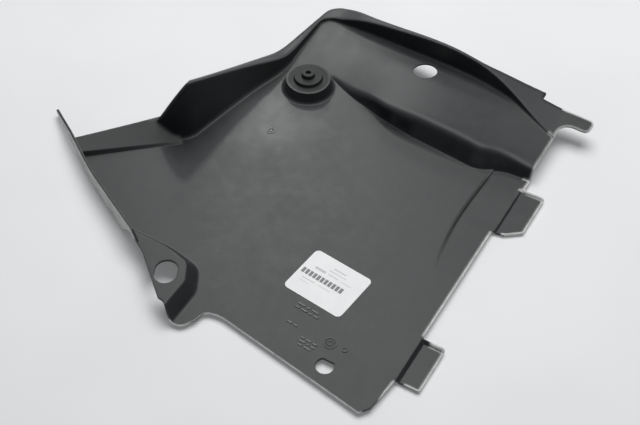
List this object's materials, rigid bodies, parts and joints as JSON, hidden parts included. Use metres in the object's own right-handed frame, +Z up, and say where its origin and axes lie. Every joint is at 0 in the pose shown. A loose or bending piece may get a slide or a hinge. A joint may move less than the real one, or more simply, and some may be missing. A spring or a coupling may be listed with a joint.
{
  "type": "underbody guard",
  "caption": "Thin moulded plastic guard panel with raised rim walls, a stepped plateau, a screw tower, a fixing pad, edge tabs and a paper sticker on its floor.",
  "frame": {"origin": "on the underside of the main floor, about the middle of the panel", "axes": "+Z up through the main floor, +X towards the two stepped tabs, +Y towards the raised far wall"},
  "size_m": [0.5107, 0.4626, 0.0754],
  "materials": {
    "dark_plastic": "fine moulded grain",
    "label_paper": "satin coated paper"
  },
  "bodies": {
    "root": {"guard_panel": "dark_plastic", "sticker": "label_paper"}
  },
  "joints": []
}
